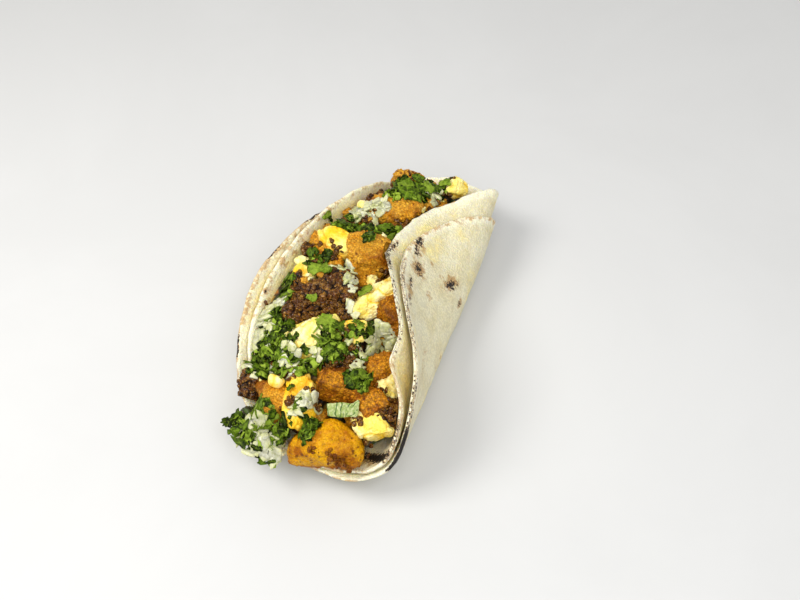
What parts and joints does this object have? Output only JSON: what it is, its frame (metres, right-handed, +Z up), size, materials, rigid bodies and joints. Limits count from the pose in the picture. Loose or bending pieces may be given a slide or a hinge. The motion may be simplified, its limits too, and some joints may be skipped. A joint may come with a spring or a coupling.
{
  "type": "taco",
  "caption": "Folded soft corn taco tipped to one side, filled with fried potato, scrambled egg, crumbled sausage, diced onion and chopped coriander.",
  "frame": {"origin": "centre of the bottom of the whole taco's bounding box, on the surface it rests on", "axes": "+Y along the fold towards the far end, +X across the fold towards the high wall that curls back over the filling, +Z up"},
  "size_m": [0.0846, 0.1652, 0.0533],
  "materials": {
    "corn_tortilla_outer": "soft corn tortilla, cream, matt and finely grained, toasted in patches with black char at the rim",
    "corn_tortilla_inner": "soft corn tortilla, cream, matt and finely grained, toasted in patches with black char at the rim",
    "fried_potato": "golden fried crust, rough, with darker specks and an oily sheen",
    "scrambled_egg": "soft pale to bright yellow curd, moist",
    "crumbled_sausage": "dark brown granular minced sausage, oily",
    "herbs_and_onion": "chopped green coriander leaves with translucent white onion dice",
    "mixed_filling": "egg, potato and sausage crumbs with onion dice and chopped coriander"
  },
  "bodies": {
    "root": {"tortilla_outer": "corn_tortilla_outer", "tortilla_inner": "corn_tortilla_inner", "potato_front": "fried_potato", "potato_top": "fried_potato", "egg_curd_long": "scrambled_egg", "egg_wedge": "scrambled_egg", "sausage_clump": "crumbled_sausage", "egg_bright": "scrambled_egg", "potato_middle": "fried_potato", "egg_left_drop": "scrambled_egg", "egg_point": "scrambled_egg", "potato_lower": "fried_potato", "potato_wall_side": "fried_potato", "potato_left": "fried_potato", "sausage_rim": "crumbled_sausage", "sausage_middle": "crumbled_sausage", "sausage_under_wall": "crumbled_sausage", "potato_shaded": "fried_potato", "egg_small": "scrambled_egg", "egg_under_wall": "scrambled_egg", "egg_edge": "scrambled_egg", "potato_far": "fried_potato", "potato_far_tip": "fried_potato", "egg_far": "scrambled_egg", "egg_bean": "scrambled_egg", "herb_spill": "herbs_and_onion", "filling": "mixed_filling"}
  },
  "joints": []
}
